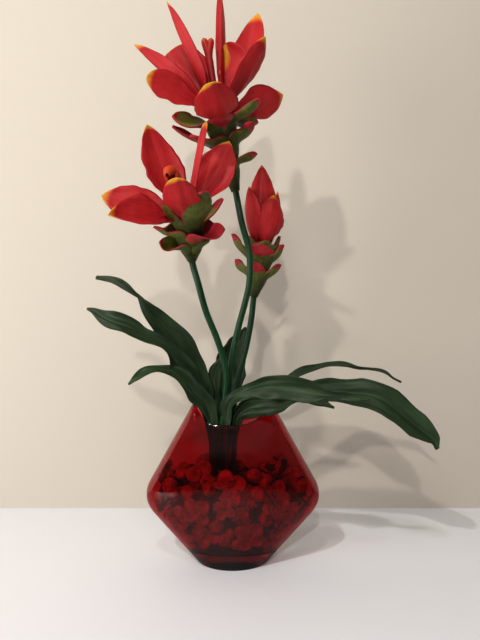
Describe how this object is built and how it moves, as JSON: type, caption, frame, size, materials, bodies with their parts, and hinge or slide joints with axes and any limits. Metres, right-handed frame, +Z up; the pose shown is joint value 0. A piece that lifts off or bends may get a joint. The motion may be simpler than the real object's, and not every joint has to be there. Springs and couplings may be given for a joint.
{
  "type": "torch ginger in vase",
  "caption": "Cut torch ginger stems with strap leaves, standing in a flattened ruby glass vase on a bed of dried blossoms and berries.",
  "frame": {"origin": "middle of the vase's flat base", "axes": "+Z up the vase, +X along its wide side to the right as seen from the front, -Y towards the front"},
  "size_m": [0.3503, 0.1707, 0.5811],
  "materials": {
    "ruby_glass": "blown ruby glass cased in clear, with a thick clear base, polished",
    "petal": "fleshy red petal, satin, orange towards the tip",
    "bract": "olive green, satin, with dark red rims",
    "stem": "smooth deep green, satin",
    "leaf": "dark green, satin, with a pressed midrib and fine veins",
    "stamen": "deep red with an orange cap",
    "dried_bed": "loose mix of dried flower pieces, rough",
    "dried_blossom": "dried four-lobed blossom, matt and papery",
    "dried_berry": "round dried berry, waxy"
  },
  "bodies": {
    "root": {"vase": "ruby_glass", "filler_bed": "dried_bed", "blossom_front_1": "dried_blossom", "blossom_front_2": "dried_blossom", "blossom_front_3": "dried_blossom", "blossom_front_4": "dried_blossom", "blossom_back_1": "dried_blossom", "blossom_back_2": "dried_blossom", "berry_front_1": "dried_berry", "berry_front_2": "dried_berry", "berry_front_3": "dried_berry", "berry_back_1": "dried_berry", "berry_back_2": "dried_berry", "top_stem": "stem", "top_stamen": "stamen", "top_petal_upright_left": "petal", "top_petal_upright": "petal", "top_petal_curled": "petal", "top_petal_back_left": "petal", "top_petal_folded_left": "petal", "top_petal_back_right": "petal", "top_petal_right": "petal", "top_petal_lower_left": "petal", "top_petal_lower_right": "petal", "top_petal_front": "petal", "top_bracts_upper": "bract", "top_bracts_middle": "bract", "top_bracts_lower": "bract", "left_stem": "stem", "left_stamen": "stamen", "left_petal_back": "petal", "left_petal_upright": "petal", "left_petal_right": "petal", "left_petal_far_left": "petal", "left_petal_lower_left": "petal", "left_petal_front": "petal", "left_bracts_upper": "bract", "left_bracts_middle": "bract", "left_bracts_lower": "bract", "bud_stem": "stem", "bud_petal_centre": "petal", "bud_petal_left": "petal", "bud_petal_right": "petal", "bud_petal_back": "petal", "bud_petal_front": "petal", "bud_bracts_inner": "bract", "bud_bracts_upper": "bract", "bud_bracts_lower": "bract", "leaf_upper_left": "leaf", "leaf_middle_left": "leaf", "leaf_lower_left": "leaf", "leaf_short": "leaf", "leaf_back": "leaf", "leaf_upper_right": "leaf", "leaf_long_right": "leaf", "leaf_front_right": "leaf", "leaf_small_right": "leaf", "leaf_under_right": "leaf"}
  },
  "joints": []
}
